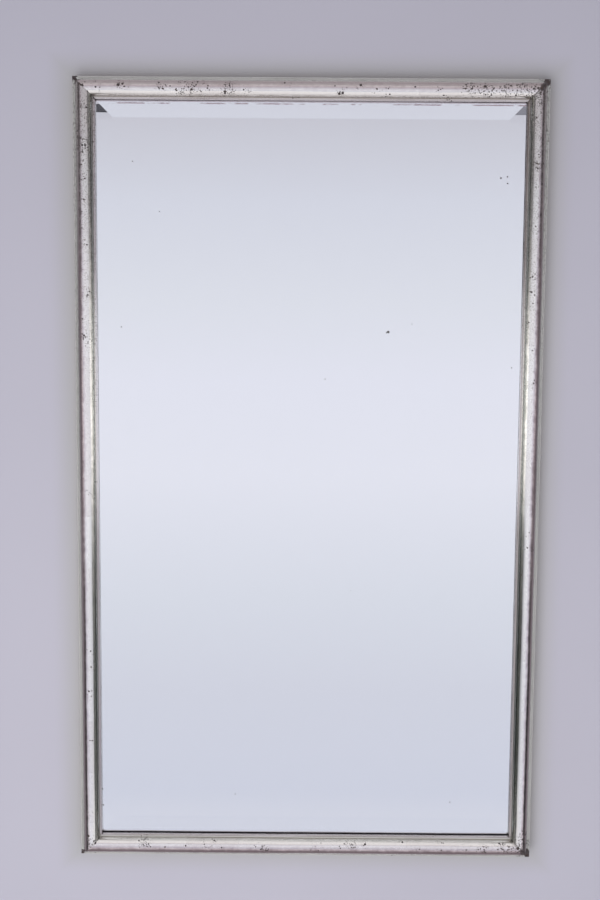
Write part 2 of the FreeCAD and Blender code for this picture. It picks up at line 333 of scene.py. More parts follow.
# %% Sizes of the moulding
stile_low, stile_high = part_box("left_stile")
HALF_WIDTH = -stile_low.x / MM
TOP, BOTTOM = stile_high.z / MM, stile_low.z / MM
HALF_HEIGHT, MIDDLE = (TOP - BOTTOM) / 2, (TOP + BOTTOM) / 2
DEPTH = -stile_low.y / MM
FACE = (stile_high.x - stile_low.x) / MM
ROUND = 10.5
SIDE = 21.5
RISE = DEPTH - SIDE - ROUND
OUTER_MARGIN = 6.0
CENTRE = OUTER_MARGIN + ROUND
FOOT = math.sqrt(ROUND ** 2 - RISE ** 2)
LIP, HOLLOW_SINK = 1.2, 1.4              # the level lip outside the hollow, and the hollow's depth
COVE = 2.0               # small hollow where the round meets the sight fillet
OUTER_ROUND, SIGHT_ROUND = 0.7, 0.6
RABBET_WALL, REBATE_WALL = FACE - 8.0, FACE - 13.0
RABBET_DEPTH, REBATE_DEPTH = SIDE - 6.0, 6.0
COAT = 0.12              # gesso and leaf over the timber
print("face", round(FACE, 2), "depth", round(DEPTH, 2), "half size", HALF_WIDTH, HALF_HEIGHT)


def arc(centre, radius, start, end, count):
    """Points on an arc, with angles in degrees from inward (0) towards forward (90) and on round."""
    turn = np.radians(np.linspace(start, end, count))
    return np.stack([centre[0] + radius * np.cos(turn), centre[1] + radius * np.sin(turn)], -1)


def straight(start, end, count):
    """Evenly spaced points on a line, without its last point."""
    share = np.arange(count)[:, None] / count
    return np.array(start) * (1 - share) + np.array(end) * share


def moulding_section():
    """The section as a closed loop of (inward, forward) points, with how many of them are leafed, and
    how many are leafed or painted. The hollow is a sunk line: its depth is 4 t (1 - t) times the sink.
    The round and the cove are circles' arcs, and the cove starts where the round reaches its level."""
    outer_foot = CENTRE - FOOT
    foot_angle = math.degrees(math.asin(RISE / ROUND))
    cove_angle = math.degrees(math.asin((RISE - COVE) / ROUND))
    cove_start = CENTRE + ROUND * math.cos(math.radians(cove_angle))
    share = np.linspace(0, 1, 12, endpoint=False)
    hollow = np.stack([
        LIP + share * (outer_foot - LIP), SIDE - HOLLOW_SINK * 4 * share * (1 - share)], -1)
    leafed = np.concatenate([
        straight((0, 0), (0, SIDE - OUTER_ROUND), 8),
        arc((OUTER_ROUND, SIDE - OUTER_ROUND), OUTER_ROUND, 180, 90, 6),
        hollow,
        arc((CENTRE, SIDE + RISE), ROUND, 180 + foot_angle, -cove_angle, 57),
        arc((cove_start + COVE, SIDE + COVE), COVE, 188, 270, 10),
        straight((cove_start + COVE + 0.2, SIDE), (FACE - SIGHT_ROUND, SIDE), 3),
        arc((FACE - SIGHT_ROUND, SIDE - SIGHT_ROUND), SIGHT_ROUND, 90, 0, 6),
        straight((FACE, SIDE - SIGHT_ROUND - 0.8), (FACE, RABBET_DEPTH), 4),
    ])
    painted = np.concatenate([
        straight((FACE, RABBET_DEPTH), (RABBET_WALL, RABBET_DEPTH), 2),
        straight((RABBET_WALL, RABBET_DEPTH), (RABBET_WALL, REBATE_DEPTH), 2),
    ])
    bare = np.concatenate([
        straight((RABBET_WALL, REBATE_DEPTH), (REBATE_WALL, REBATE_DEPTH), 2),
        straight((REBATE_WALL, REBATE_DEPTH), (REBATE_WALL, 0), 2),
        straight((REBATE_WALL, 0), (0, 0), 4),
    ])
    return np.concatenate([leafed, painted, bare]), len(leafed), len(leafed) + len(painted)

# %% [markdown]
# Four lengths of moulding
#
# Each length could be a curve with a bevel profile. Here the section is carried along the side as one
# array, because its ends have to be mitred and because old gesso is never quite even: every point is
# moved along the section's own normal by a few slow waves. The ends stop a little short of the mitre
# plane, and the gap opens towards the tip, where the glue gave way.

# %% Mouldings
SIDES = {
    "top_rail": (0.0, HALF_HEIGHT, HALF_WIDTH),
    "right_stile": (90.0, HALF_WIDTH, HALF_HEIGHT),
    "bottom_rail": (180.0, HALF_HEIGHT, HALF_WIDTH),
    "left_stile": (270.0, HALF_WIDTH, HALF_HEIGHT),
}
GAP_AT_TIP = {"top_rail": (0.10, 0.35), "right_stile": (0.35, 0.45),
              "bottom_rail": (0.45, 0.15), "left_stile": (0.15, 0.10)}
GAP_AT_SIGHT = 0.06
WAVE_MM = 0.09
WAVES = ((310, 1.0), (140, 0.7), (61, 0.5), (27, 0.25))    # length and share of each slow sine
CALM_MM = 25.0           # the waves die out this near the mitres
STEP_ALONG = 3.0


def on_side(name, along, inward, forward):
    """Points of a side, in millimetres: drawn level with the outer edge up, then turned about the
    middle of the mirror by the side's own angle."""
    turn, distance, _ = SIDES[name]
    cos, sin = math.cos(math.radians(turn)), math.sin(math.radians(turn))
    height = distance - inward
    return np.stack([along * cos + height * sin, -forward, MIDDLE - along * sin + height * cos], -1)


def moulding(name, materials, seed):
    """One mitred length. A point's place along the side is t times (half length - inward - gap), and
    it is moved outwards by the coat and by a sum of slow sines."""
    loop, leafed, covered = moulding_section()
    normals = loop_normals(loop)
    half_length = SIDES[name][2]
    count = int(2 * half_length / STEP_ALONG)
    t = np.linspace(-1, 1, count)[:, None]
    on_face = np.zeros(len(loop))
    on_face[:leafed] = np.minimum(np.minimum(np.arange(leafed), leafed - np.arange(leafed)) / 4, 1)

    draw = np.random.default_rng(seed)
    place = t * half_length
    across = np.arange(len(loop))[None, :] / len(loop) * 2 * math.pi
    waves = np.zeros((count, len(loop)))
    for length, strength in WAVES:
        phase, twist = draw.uniform(0, 2 * math.pi), draw.integers(1, 4)
        waves += strength * np.sin(place * 2 * math.pi / length + phase + twist * across)
    calm = np.clip((half_length - np.abs(place)) / CALM_MM, 0, 1)
    move = (COAT + WAVE_MM * waves * calm) * on_face

    inward = loop[:, 0] + move * normals[:, 0]
    forward = loop[:, 1] + move * normals[:, 1]
    start_gap, end_gap = GAP_AT_TIP[name]
    tip_gap = np.where(t < 0, start_gap, end_gap)
    gap = GAP_AT_SIGHT + (tip_gap - GAP_AT_SIGHT) * np.clip(1 - inward / FACE, 0, 1)
    along = t * (half_length - inward - gap * 0.5)
    points = on_side(name, along, inward, forward) * MM

    columns = len(loop)
    faces = [quad[::-1] for quad in grid_faces(count, columns, close_columns=True)]
    column = np.arange(columns)
    zone = np.tile(np.where(column < leafed, 0, np.where(column < covered, 1, 2)), count - 1)
    first = list(range(columns))
    last = [(count - 1) * columns + i for i in reversed(range(columns))]
    faces += [first, last]
    made = new_piece(name + "_leafed", points, faces, materials, zones=np.append(zone, [2, 2]))
    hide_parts(name)
    return made


print("points in the section", len(moulding_section()[0]), "waves", len(WAVES))

# %% [markdown]
# Silver leaf
#
# Real silver leaf is laid in thin squares over red-brown clay and white gesso. It is a metal mirror
# roughened by the brush, it tarnishes to mauve and brown where hands and cloths don't reach, turns
# greenish in the hollows, and flakes off in small dark dots. A picture of all that could be wrapped
# round the frame, but a procedural material can be looked at from anywhere at any size. So the
# material first works out where on the moulding it is: how far inward, how far forward, the angle
# round the half round, and how far from the mitre. Tarnish, grime and wear are then functions of
# those places, broken up by noise, and so are a painted highlight and painted shade that follow the
# angle round the moulding and the height on the uprights.

# %% Places of the dark flecks, read off the picture
# Each mark is (across, down, size in millimetres), listed at the larger flecks of the frame
FLECKS_PX = [
    (95.6, 86.8, 1.7), (99.8, 87.2, 1.3), (95.4, 81.2, 1.3), (118.3, 84.7, 2.6), (122.4, 83.7, 2.2),
    (124.6, 86.2, 1.3), (158.5, 82.2, 1.5), (158.5, 87.6, 1.5), (162.8, 88.6, 1.8), (166.1, 86, 1.3),
    (175.3, 89.6, 1.2), (180.4, 91.6, 1.2), (191.6, 89.4, 2.4), (194.2, 86.3, 1.5), (197.6, 81.8, 2),
    (184.5, 82, 1.4), (208, 85.5, 1.4), (207.4, 88.2, 1.4), (225, 91.4, 2.2), (225, 93.2, 2.2),
    (229.6, 85.3, 1.8), (243.7, 89.6, 1.6), (249, 92.1, 1.2), (284.7, 83, 1.8), (295.4, 96.2, 1.2),
    (339.3, 93.7, 2.6), (342.7, 93.1, 2.5), (335, 86, 1.4), (360.9, 85.2, 2.3), (376.9, 88.9, 1.8),
    (388.5, 88.6, 1.2), (389.7, 94.2, 1.6), (415.3, 86.9, 1.7), (440.5, 89.4, 1.2), (443.9, 95.2, 1.7),
    (466.2, 84.8, 1.9), (465.5, 88.6, 1.9), (472, 88.8, 1.9), (485.2, 86.4, 2.8), (479, 90.8, 1.3),
    (491.5, 95, 1.6), (494, 88.4, 1.4), (511, 85.8, 2), (522.5, 84.1, 2), (516, 95.2, 1.8),
    (534, 88.8, 2.2), (538.4, 88, 2), (532.6, 95.6, 1.6), (541, 92.5, 1.8), (545.5, 86.5, 2.4),
    (536.7, 117.6, 1.7), (538.6, 154.5, 1.5), (536.8, 163.4, 1.7), (543.2, 163.4, 1.9),
    (537.8, 168.7, 1.6), (536, 187, 1.2), (535.7, 226.3, 1.5), (532.4, 276.8, 1.7), (531.7, 292.2, 1.8),
    (533, 303.5, 1.3), (528.7, 322.4, 1.5), (532.4, 350.4, 1.3), (533.6, 383.4, 1.5), (81, 106, 1.6),
    (86.2, 107.4, 1.7), (77.2, 130.8, 2.4), (77.4, 136.6, 2.4), (80.7, 138.1, 1.7), (82.2, 145, 1.9),
    (84.9, 144.2, 1.6), (79.3, 145.6, 1.5), (82.6, 151.9, 2), (87.8, 150.4, 1.5), (81.4, 164.5, 1.7),
    (84.9, 178.3, 1.5), (83.8, 199.4, 1.8), (81.9, 211.6, 1.4), (82, 228, 1.6), (87.1, 244.8, 1.4),
    (87.6, 295, 1.7), (89.6, 291.5, 1.4), (82.6, 318.8, 1.5), (84.1, 335.3, 1.9), (88, 342, 1.3),
    (90.6, 651.1, 1.5), (91.1, 667, 1.6), (89, 691.5, 1.8), (92.3, 740.6, 1.5), (87.5, 812.1, 1.6),
    (88.6, 836, 2.6), (94, 841, 2), (138.9, 840.6, 1.6), (145.8, 838.2, 1.4), (150.5, 846.6, 1.3),
    (165, 846.8, 1.5), (185.6, 845.8, 1.6), (214.2, 840.6, 1.7), (255.7, 846.8, 1.3), (499, 843.4, 1.9),
    (503, 843.2, 1.5), (497.9, 849.6, 1.4), (502.8, 849.4, 1.4), (517.7, 848.6, 3), (522.3, 839.6, 1.9),
    (525.3, 834.4, 2), (518.9, 840.2, 1.4), (525, 843.6, 1.8), (201.4, 839.3, 1.5), (204.3, 844.3, 1.3),
    (260.7, 849.3, 1.5), (267.1, 850.4, 1.5), (297.1, 832.6, 1.8), (341.9, 840.4, 1.3),
    (344.3, 843.9, 1.4), (339.3, 846.4, 1.2), (355, 847.2, 1.3), (365, 844.3, 2.2), (398.6, 840.7, 1.5),
    (318.3, 850.6, 1.3), (529, 532.6, 1.1), (527.3, 547.9, 1.5), (533.6, 549.9, 1.4), (521.4, 575, 1.7),
    (177, 90.5, 1.2), (183.4, 91.9, 1.2), (186.3, 90.2, 1.2), (200.2, 90.4, 1.1), (204, 83.4, 1.1),
    (402.3, 842.3, 1.9), (432.6, 839.4, 1.4),
]
FLECK_GROWTH = 1.45      # drawn larger than life: the picture has 1.4 mm to a pixel
# Each scratch is (across, down, across, down, width in millimetres), from its one end to the other
SCRATCHES_PX = [
    (208.3, 85.5, 207, 88.6, 1), (190.4, 90.4, 193.2, 87.8, 1), (359.4, 84, 362.6, 86.2, 0.9),
    (447.4, 97.2, 451.6, 100.6, 0.8), (534.6, 89.6, 540.4, 87.9, 1), (533, 95.8, 541.5, 88.4, 1.3),
    (541.5, 88.4, 547, 83.4, 1.9), (510.2, 836.2, 518.3, 847.2, 1.1), (518.3, 847.2, 525.4, 853.6, 1.9),
    (97.6, 829, 96.2, 838.6, 1), (89, 492.4, 92, 494.6, 1.1), (92, 494.6, 94.3, 500.6, 0.8),
    (79.4, 83.4, 82.9, 85.4, 2.2), (88.6, 834.8, 88.9, 846.5, 1), (210, 848.6, 222, 848.9, 0.6),
    (430.2, 839.7, 437, 840.3, 1.1), (440.4, 840.1, 441.7, 842.9, 2), (463.9, 849.3, 479.3, 849.3, 0.8),
]
SCRATCH_STEP_PX = 1.3
# Each crowd is (across, down, radius in millimetres), where small flecks lie close together
CROWDS_PX = [
    (472, 88, 12), (488, 89, 12), (506, 90, 11), (524, 88, 13), (541, 90, 15), (543, 104, 8),
    (519, 847, 12), (523, 836, 9), (500, 846, 8), (145, 843, 11), (229, 89, 12), (193, 88, 10),
    (160, 86, 7), (120, 85, 7), (80, 105, 8), (181, 91, 7), (350, 845, 9), (264, 849, 6), (484, 850, 9),
    (312, 850, 5), (528, 843, 10), (508, 850, 9), (465, 851, 6), (440, 851, 6), (418, 850, 6),
    (81, 144, 12), (91, 843, 8), (538, 164, 9), (341, 92, 7), (84, 335, 6),
]
CUTS = 200
GLASS_FRONT = -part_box("mirror_glass")[0].y / MM


def on_frame(marks):
    """Places in the picture put on the moulding's front, in millimetres. Each ray from the eye is cut
    with a row of upright planes from front to back, the section says how far forward the surface is
    at every cut, and the first cut that lies no further forward than that is the place."""
    rays = rays_through(marks)
    levels = np.linspace(DEPTH, SIDE, CUTS)
    points = eye_mm + rays[:, None] * ((-levels - eye_mm[1]) / rays[:, 1:2])[..., None]
    inward = np.minimum(HALF_WIDTH - np.abs(points[..., 0]),
                        HALF_HEIGHT - np.abs(points[..., 2] - MIDDLE))
    inside = np.clip(ROUND ** 2 - (inward - CENTRE) ** 2, 0, None)
    surface = np.where(inside > RISE ** 2, SIDE + RISE + np.sqrt(inside), SIDE)
    first = np.argmax(levels <= surface + 0.001, axis=1)
    return points[np.arange(len(rays)), first]


def wobbled(place, size_mm, detail, reach):
    """A place moved by noise, by half the reach at most, so that round marks get ragged edges."""
    shift = reckon_vector("SUBTRACT", noise(place, size_mm, detail, output=1), NOISE_MIDDLE)
    return reckon_vector("MULTIPLY_ADD", shift, reach, place)


def nearest_edge(place, spots, radii):
    """How far off the nearest of some round marks is: the least of distance minus radius, over all. A
    shader can hold few values at a time, so each mark is compared at once with those before it."""
    edges = (reckon_vector("DISTANCE", place, spot, output=1) - float(radius)
             for spot, radius in zip(spots, radii))
    return reduce(smallest, edges)


marks = [(across, down, size * FLECK_GROWTH) for across, down, size in FLECKS_PX]
for x0, y0, x1, y1, width in SCRATCHES_PX:
    steps = max(2, round(math.hypot(x1 - x0, y1 - y0) / SCRATCH_STEP_PX))
    marks += [(x0 + (x1 - x0) * i / steps, y0 + (y1 - y0) * i / steps, width) for i in range(steps + 1)]
fleck_places, crowd_places = on_frame(marks), on_frame(CROWDS_PX)
print("flecks", len(fleck_places), "first at", fleck_places[0].round(1), "crowds", len(crowd_places))

# %% [markdown]
# The leaf as one material
#
# Painting the frame by hand would need an unwrapped surface and a picture of fixed size. Here the
# shader is told where it is, so that tone follows the angle round the moulding, with a painted
# highlight and painted shade, wear follows the distance to the corners, and the flecks are round
# marks at the places above, made ragged by noise.

# %% Silver leaf material
LEAF_TARNISH_AND_SHEEN = {           # colour by the angle round the moulding, below 0 outside and 0 at the crown: tarnish, with a painted highlight along the crown and cove and painted shade on the flanks
    "upright": [(-90, "#776b70"), (-60, "#665b60"), (-46, "#6f6368"), (-33, "#908489"),
                (-22, "#c8bec1"), (-12, "#ebe4e5"), (-3, "#f8f5f2"), (44, "#f5f3ee"), (54, "#d5d5cd"),
                (64, "#a5a89f"), (84, "#adaea6"), (104, "#dbd9d3")],
    "top": [(-90, "#9f9697"), (-45, "#a19798"), (-22, "#b2aaaa"), (-13, "#cac2c3"), (-4, "#d5cdce"),
            (12, "#e3dddd"), (25, "#f5f2ef"), (50, "#f5f2ee"), (62, "#e9e4de"), (74, "#bdb5ad"),
            (110, "#b8b0a8")],
    "bottom": [(-90, "#75686c"), (-31, "#75686c"), (-22, "#817478"), (-14, "#a4989c"), (-5, "#c8bdc0"),
               (12, "#e6dfdf"), (26, "#f4f1ef"), (52, "#f3f1ed"), (68, "#ecebe5"), (86, "#d6d7cf"),
               (110, "#cbcbc3")],
}
LOW_TURN, HIGH_TURN = -90.0, 120.0
RAGGED_TURN, RIGHT_HIGHLIGHT_TURN = 28.0, 5.0                  # how far noise moves the tones, and how far the right upright moves its painted highlight's edge
STREAK_STRETCH = 0.05
LEAF_PITCH, LAP_RAGGED, LAP_WIDTH = 74.0, 6.0, 0.75  # squares of leaf and their laps
LIT_HEIGHT, LIT_HALF, UNLIT_HALF = -435.0, 90.0, 210.0    # the painted highlight on the inner side is centred about here, with painted shade away from it
FOOT_OUT, FOOT_IN = CENTRE - FOOT, CENTRE + ROUND    # where the round ends, outside and inside
TIP_REACH, TIP_WIDTH = 24.0, 8.0                     # the worn wedge in a corner's tip


def leaf_material():
    """Tarnished silver leaf over bole and gesso, by place on the moulding, in millimetres."""
    material, tree = new_material("silver_leaf_over_bole")
    coords = object_mm(tree)
    x, y, z = axes_of(coords)
    height = z - MIDDLE
    from_side = HALF_WIDTH - abs(x)
    from_end = HALF_HEIGHT - abs(height)
    inward = smallest(from_side, from_end)
    forward_mm = y * -1.0
    from_mitre = abs(from_side - from_end)
    around = reckon("ARCTAN2", inward - CENTRE, forward_mm - (SIDE + RISE)) * (180 / math.pi)

    # Which side it is: 1 on the uprights, 1 in the left half, 1 in the upper half
    upright = reckon("LESS_THAN", from_side, from_end)
    left = reckon("LESS_THAN", x, 0.0)
    high = reckon("GREATER_THAN", height, 0.0)
    along = blend(upright, x, height)

    # Slow and fine noise, and streaks along the side, which break up every edge below
    cloud = noise(coords, 38.0, 4.0, 0.6)
    grain = noise(coords, 3.2, 5.0, 0.65)
    brushed = noise(coords, 9.0, 4.0, 0.6)
    drawn_out = derived("CombineXYZ", {0: along * STREAK_STRETCH, 1: inward, 2: forward_mm})
    streak = noise(drawn_out, 1.1, 4.0, 0.6)
    ragged = (brushed + streak - 1.0) * RAGGED_TURN
    angle = around + ragged - fade(around, 10.0, -10.0) * upright * (1.0 - left) * RIGHT_HIGHLIGHT_TURN

    # Leaf: clean silver inside, mauve and brown tarnish outside where it has been handled, and by angle
    # a painted highlight along the crown and painted shade on the flanks
    share = fade(angle, LOW_TURN, HIGH_TURN, kind="LINEAR")
    tone = {side: ramp(share, *[((turn - LOW_TURN) / (HIGH_TURN - LOW_TURN), colour)
                                for turn, colour in stops]) for side, stops in LEAF_TARNISH_AND_SHEEN.items()}
    tone_side = fade(from_end - from_side + ragged * 0.6, -2.5, 2.5)
    leaf = mix(tone_side, mix(high, tone["bottom"], tone["top"]), tone["upright"])
    bole = fade(streak, 0.56, 0.68) * fade(angle, 14.0, -12.0)
    leaf = mix(bole * 0.45, leaf, "#8f767c")

    # The uprights are duller above. Painted shade darkens their inner flank away from the height where
    # the side light falls, most of all on the right and below it, and painted shade darkens their outer
    # flank near that height
    leaf = mix(upright * high * fade(from_end, 260.0, 20.0, 0.0, 0.42, "LINEAR"), leaf, "#9c9b96")
    # painted shade by height: 0 at the lit height on the uprights, 1 well above or below it
    painted_shade_by_height = fade(abs(z - LIT_HEIGHT), LIT_HALF, UNLIT_HALF)
    below = fade(z, LIT_HEIGHT, LIT_HEIGHT - 120.0)
    # how strong the painted shade on the inner flank is: more below the lit height, away from the ends
    # and on the right
    strength = blend(below, 0.14, 0.6) * fade(from_end, 30.0, 150.0, 0.3, 1.0) * blend(left, 1.0, 0.3)
    leaf = mix(painted_shade_by_height * strength * upright * fade(around, 12.0, 38.0), leaf, "#3d433d")
    leaf = mix((1.0 - painted_shade_by_height) * upright * fade(around, -16.0, -34.0) * 0.42, leaf, "#453d41")

    # Each leaf is a square of its own tone, lapped over the next
    squares = (along + brushed * LAP_RAGGED) / LEAF_PITCH + (upright * 0.4 + left * 0.27)
    number = derived("CombineXYZ", {0: reckon("FLOOR", squares), 1: upright, 2: left})
    own = derived("TexWhiteNoise", {0: number})
    from_lap = reckon("FRACT", squares) * LEAF_PITCH
    lap = fade(from_lap, LAP_WIDTH, 0.0) * fade(grain, 0.35, 0.6, 0.03, 0.32)
    leaf = mix(1.0, leaf, mix(own, "#f6f4f4", "#ffffff"), "MULTIPLY")
    leaf = mix(lap, leaf, "#7d7275")

    # Flats: the paler fillet at the sight edge, with painted shade on the uprights away from the lit
    # height, the grey-green ledge outside the round with its duller lip and painted shade at its foot,
    # and past them the frame's outer side and a painted highlight on the wall of the sight
    on_fillet = fade(inward, FOOT_IN + 0.4, FOOT_IN + 1.3) * fade(forward_mm, SIDE + 1.9, SIDE + 0.9)
    # the uprights' fillet: painted shade away from the lit height, darkest on the right and below it
    right_fillet = mix(painted_shade_by_height, "#cac2bf", mix(below, "#8f8580", "#b5aca8"))
    upright_fillet = mix(left, right_fillet, mix(painted_shade_by_height, "#e0dbdb", "#b9b0b1"))
    leaf = mix(on_fillet, leaf, mix(tone_side, "#cfc8c6", upright_fillet))
    on_ledge = fade(inward, FOOT_OUT + 0.3, FOOT_OUT - 0.4) * fade(forward_mm, SIDE + 1.7, SIDE + 0.7)
    leaf = mix(on_ledge, leaf, mix(cloud, "#bcbdb8", "#d5d4d1"))
    leaf = mix(on_ledge * fade(inward, 2.4, 1.0) * 0.4, leaf, "#8d8b8a")
    outer_side = fade(forward_mm, SIDE - 0.7, SIDE - 1.9) * fade(inward, 1.4, 0.5)
    leaf = mix(outer_side * 0.75, leaf, mix(streak, "#7c736c", "#a39a90"))
    # painted shade in the crease at the outer foot of the round, on the uprights
    painted_shade_at_foot = fade(inward, blend(left, 2.8, 1.6), FOOT_OUT - 1.5)
    leaf = mix(painted_shade_at_foot * on_ledge * tone_side, leaf, "#443c40")
    # a painted highlight on the wall of the sight of the uprights: all along the left one, near the lit
    # height on the right
    sight_wall = fade(forward_mm, SIDE - 0.2, SIDE - 0.8) * fade(inward, FACE - 0.8, FACE - 0.3)
    leaf = mix(sight_wall * upright * largest(left, 1.0 - painted_shade_by_height), leaf, "#fbf9f7")

    # Grime sits in the inner cove, with painted shade there on the uprights away from the lit height; a
    # painted shadow runs along the sight edge, and grime sits in the mitres
    quirk = fade(abs(inward - FOOT_IN), 0.9, 0.1, 0.0, 0.5) * fade(forward_mm, SIDE + 3.0, SIDE + 1.8)
    # on the uprights the cove's darkening is painted shade, stronger away from the lit height; on the
    # top rail it is grime
    quirk = quirk * blend(tone_side, high * 0.4, painted_shade_by_height * 0.9)
    # a painted shadow along the sight edge where the frame meets the glass: full on the bottom rail,
    # lighter near the middle of the top rail, on the right upright stronger away from the lit height
    # and above it, faint on the left one
    rail_sight_shadow = blend(high, 1.0, fade(abs(x), 90.0, 230.0, 0.35, 1.0))
    stile_sight_shadow = blend(left, painted_shade_by_height * fade(below, 0.0, 1.0, 0.7, 0.15), 0.05)
    sight = fade(forward_mm, SIDE - 2.9, SIDE - 4.5) * fade(inward, FACE - 1.0, FACE - 0.4)
    sight = sight * blend(upright, rail_sight_shadow, stile_sight_shadow)
    tip_wear = blend(left, 1.0, blend(high, 0.45, 0.6))      # the two left corners are the sound ones
    crack_width = fade(noise(coords, 7.0, 3.0), 0.35, 0.7, 0.2, 2.2) * tip_wear
    crack = fade(from_mitre, crack_width, 0.0) * fade(inward, FACE, 12.0, 0.35, 0.9)

    # It is worn into the tips of the corners too, in a ragged wedge
    wedge = fade(inward / (tip_wear * TIP_REACH), 1.0, 0.0, -1.5, TIP_WIDTH, "LINEAR") * tip_wear
    wedge = wedge + (brushed * 16.0 + grain * 16.0 - 16.0)
    tip = fade(from_mitre - wedge, 0.7, -0.7)
    near_tip = fade(inward + from_mitre * 0.8, 22.0, 3.0) * tip_wear
    # worn tips, the cove's grime and painted shade, the painted shadow at the sight edge and the mitre
    # cracks, as one mask
    grime_and_shade = largest(tip, quirk, sight, crack) * fade(grain, 0.25, 0.55, 0.82, 1.0)

    # Flecks: the large ones at their own places, fine ones crowded round them, and dust
    uneven = wobbled(coords, 1.25, 2.0, (1.3, 1.3, 1.3))
    nearest = nearest_edge(uneven, fleck_places, [mark[2] / 2 for mark in marks])
    in_crowd = fade(nearest_edge(coords, crowd_places, [crowd[2] for crowd in CROWDS_PX]), 2.0, -6.0)
    crowded = fade(nearest, 12.0, 1.0) * 0.16 + fade(cloud, 0.45, 0.75, 0.02, 0.12)
    crowded = crowded + largest(near_tip, in_crowd) * 0.6
    dusty = fade(from_end, 480.0, 60.0, 0.15, 0.75, "LINEAR") * upright * high
    dust = fade(noise(coords, 1.4, 1.0), 0.53, 0.64) * largest(dusty, 0.06)
    fleck = largest(fade(nearest, 0.2, -0.2), dust)
    for cell_mm, largest_mm in ((2.8, 0.95), (1.7, 0.6)):
        cells = node(tree, "TexVoronoi", {"Vector": uneven, "Scale": 1 / cell_mm})
        lot = axes_of(Value(cells.outputs["Color"]))[0]
        radius = smallest((lot + crowded - 1.0) * 3.0, largest_mm / cell_mm)
        fleck = largest(fleck, fade(Value(cells.outputs["Distance"]) - radius, 0.07, -0.05))

    # grime, the painted shade and the sight edge's painted shadow share this dark colour
    colour = mix(grime_and_shade, leaf, mix(fade(cloud, 0.3, 0.7), "#30262a", "#453b3b"))
    colour = mix(fleck, colour, mix(fade(grain, 0.4, 0.6), "#241d20", "#41352f"))
    colour = mix(0.15, colour, mix(grain, "#000000", "#ffffff"), "SOFT_LIGHT")

    dull = largest(fleck, grime_and_shade, on_ledge * 0.85)
    rough = fade(brushed, 0.3, 0.7, 0.15, 0.24, "LINEAR") + dull * 0.45
    relief = grain * 0.3 - fleck * 0.7 - lap * 0.2
    finish_surface(tree, colour, rough, blend(dull, 0.96, 0.0), relief, 0.1, strength=0.3)
    return material


silver_leaf = leaf_material()
print("leaf nodes", len(silver_leaf.node_tree.nodes))

# %% [markdown]
# Bare pine
#
# The back of the frame, the backboards and the glue blocks are unfinished pine: pale when new,
# brown-grey after a century against a wall. Growth rings show as long streaks along the piece, so
# the noise is stretched along the grain, and finer streaks give the sawn surface.

# %% Bare pine material
GRAIN_STRETCH = 0.06


def pine_material(name, light, dark, grain_axis, ring_mm=7.0, plank_mm=0.0):
    """Old bare pine. The grain runs along one axis, 0 for X and 2 for Z. Plank_mm moves the pattern, so
    that no two boards look sawn from the same place."""
    material, tree = new_material(name)
    place = reckon_vector("ADD", object_mm(tree), (plank_mm, plank_mm, plank_mm))
    stretch = [1.0, 1.0, 1.0]
    stretch[grain_axis] = GRAIN_STRETCH
    along = reckon_vector("MULTIPLY", place, stretch)
    ring = noise(along, ring_mm, 3.0, Distortion=0.6)
    fibre = noise(along, 0.9)
    stain = noise(place, 90.0, 4.0)
    wood = ramp(ring, (0.34, light), (0.47, dark), (0.5, light), (0.6, dark), (0.63, light))
    shade = fade(fibre, 0.3, 0.7, 0.84, 1.08, "LINEAR") * fade(stain, 0.35, 0.7, 1.0, 0.86, "LINEAR")
    finish_surface(tree, scaled(wood, shade), 0.78, height=fibre, relief_mm=0.2, strength=0.5)
    return material


def brushed_paint(name, dark, light, light_from, roughness, stroke_mm, stretch=(1.0, 1.0, 1.0)):
    """Thin paint laid on with a brush, which leaves darker and lighter strokes."""
    material, tree = new_material(name)
    stroke = noise(reckon_vector("MULTIPLY", object_mm(tree), stretch), stroke_mm, 3.0)
    finish_surface(tree, ramp(stroke, (0.35, dark), (light_from, light)), roughness, height=stroke)
    return material


# Blackish, so that the glass reflects no pale wood
rabbet_black = brushed_paint("aubergine_black_rabbet_paint", "#2b2129", "#43353f", 0.7, 0.7, 2.5)
pine_cross = pine_material("old_pine_cross_grain", "#b39570", "#8f7049", 0)
pine_upright = pine_material("old_pine_upright_grain", "#b39570", "#8f7049", 2)

for number, side_name in enumerate(SIDES):
    bare_wood = pine_cross if side_name.endswith("rail") else pine_upright
    moulding(side_name, [silver_leaf, rabbet_black, bare_wood], seed=11 + number)
print("mouldings", len(SIDES))

# %% [markdown]
# The plate and its silvering
#
# An old mirror is a sheet of glass with silver on its back, so a glint leaves it twice: faintly at
# the front of the glass and strongly at the silver. Modelling both surfaces gives the bevel its true
# look for nothing, because the slanting glass bends what the silver shows. The glass keeps the shape
# of the frame's node, because its bevel is already the real one, and only gets a finish.

# %% Plate glass material
def plate_glass_material():
    """Soda-lime glass, polished: index 1.52 and no roughness."""
    material, tree = new_material("polished_plate_glass")
    shader = node(tree, "BsdfPrincipled", {
        "Base Color": "#ffffff", "Roughness": 0.0, "IOR": 1.52, "Transmission Weight": 1.0})
    finish_material(tree, shader)
    return material


def paint_node(name, material):
    """Gives a node of the frame its finish in every material slot."""
    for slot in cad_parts[name].material_slots:
        slot.material = material


paint_node("mirror_glass", plate_glass_material())
print("glass front", round(GLASS_FRONT, 2), "mm before the back of the frame")

# %% [markdown]
# Silvering and its backing
#
# The silver is a mirror without roughness, so what it shows comes only from the card in front of it.
# Damp has got behind it in places, which are dark specks. A broken pink line under the top edge is a
# painted reflection of the sight's fillet.
# Behind it comes a brushed coat of red-brown paint. Both are one slab a hair behind the glass, since
# two faces in exactly the same place would flicker.

